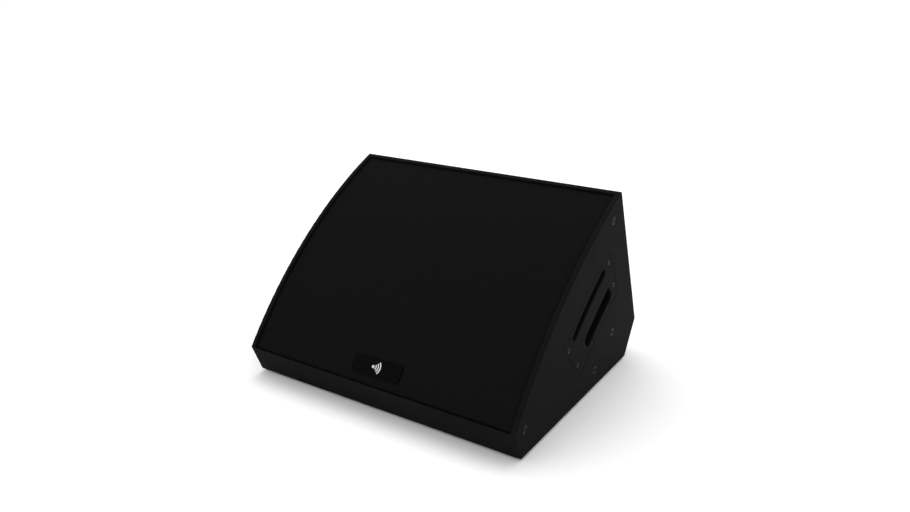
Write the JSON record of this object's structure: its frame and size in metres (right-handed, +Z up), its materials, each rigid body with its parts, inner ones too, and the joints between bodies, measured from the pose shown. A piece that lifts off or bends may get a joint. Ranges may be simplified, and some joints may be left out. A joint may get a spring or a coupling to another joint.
{
  "type": "stage monitor wedge",
  "caption": "Low wedge-shaped floor loudspeaker with a curved front grille, flush side handles and a coaxial driver inside.",
  "frame": {"origin": "on the floor, under the middle of the overall box", "axes": "+X to the listener's right-hand side panel when the grille is faced, -Y towards the front lip and grille, +Z up"},
  "size_m": [0.59, 0.5134, 0.3741],
  "materials": {
    "textured_paint": "black textured polyurethane paint on birch plywood",
    "raw_ply": "birch plywood and pine, unpainted inside",
    "grille_cloth": "black acoustic foam",
    "grille_steel": "black powder coat on steel",
    "foam_tape": "closed-cell foam tape",
    "badge_black": "black moulded plastic, blank",
    "black_steel": "black zinc-plated steel",
    "zinc_steel": "bright zinc-plated steel",
    "rubber": "black moulded rubber",
    "cup_plastic": "black moulded plastic",
    "socket_plastic": "black glass-filled nylon",
    "cast_aluminium": "black-painted cast aluminium",
    "paper_cone": "coated paper pulp",
    "treated_cloth": "doped cotton cloth",
    "ferrite": "sintered ferrite",
    "copper": "enamelled copper wire",
    "titanium": "rolled titanium foil",
    "circuit_board": "glass-epoxy board",
    "wadding": "polyester wadding",
    "cable": "PVC-sheathed cable"
  },
  "bodies": {
    "cabinet": {"side_panel_right": "textured_paint", "side_panel_left": "textured_paint", "bottom_panel": "textured_paint", "front_lip": "textured_paint", "rear_panel": "textured_paint", "rear_kick_panel": "textured_paint", "baffle_board": "textured_paint", "baffle_battens": "raw_ply", "rear_brace": "raw_ply", "damping_wadding": "wadding", "grille_foam": "grille_cloth", "grille_sheet": "grille_steel", "grille_gaskets": "foam_tape", "grille_screws": "black_steel", "grille_cup_washers": "black_steel", "grille_weld_nuts": "zinc_steel", "badge_plate": "badge_black", "badge_clips": "zinc_steel", "handle_plate_right": "textured_paint", "handle_plate_left": "textured_paint", "handle_cup_right": "cup_plastic", "handle_cup_left": "cup_plastic", "handle_screws": "black_steel", "bracket_inserts": "black_steel", "rubber_feet": "rubber", "foot_screws": "zinc_steel", "connector_dish": "grille_steel", "dish_screws": "black_steel", "input_socket": "socket_plastic", "link_socket": "socket_plastic", "socket_screws": "black_steel", "woofer_rear_gasket": "foam_tape", "woofer_basket": "cast_aluminium", "woofer_bolts": "black_steel", "woofer_t_nuts": "zinc_steel", "woofer_clamp_ring": "rubber", "woofer_surround": "treated_cloth", "woofer_spider": "treated_cloth", "woofer_top_plate": "zinc_steel", "woofer_magnet": "ferrite", "woofer_yoke": "zinc_steel", "hf_horn": "cup_plastic", "hf_front_plate": "zinc_steel", "hf_bolts": "black_steel", "hf_magnet": "ferrite", "hf_top_plate": "zinc_steel", "hf_phase_plug": "zinc_steel", "hf_suspension": "treated_cloth", "hf_clamp_ring": "cup_plastic", "hf_rear_cap": "cup_plastic", "port_tube_left": "cup_plastic", "port_tube_right": "cup_plastic", "crossover_board": "circuit_board", "crossover_parts": "copper", "crossover_standoffs": "cup_plastic", "crossover_screws": "zinc_steel", "wiring_loom": "cable"},
    "cone_and_coil": {"woofer_cone": "paper_cone", "voice_coil": "copper"},
    "diaphragm": {"hf_diaphragm": "titanium"}
  },
  "joints": [
    {"name": "cone_travel", "type": "slide", "parent": "cabinet", "child": "cone_and_coil", "axis": [0, -0.6257, 0.7801], "range_m": [-0.008, 0.008], "stiffness_N_per_m": 6000, "deforming": ["woofer_surround", "woofer_spider"]},
    {"name": "diaphragm_travel", "type": "slide", "parent": "cabinet", "child": "diaphragm", "axis": [0, -0.6257, 0.7801], "range_m": [-0.0003, 0.0003], "stiffness_N_per_m": 2000, "deforming": ["hf_suspension"]}
  ]
}
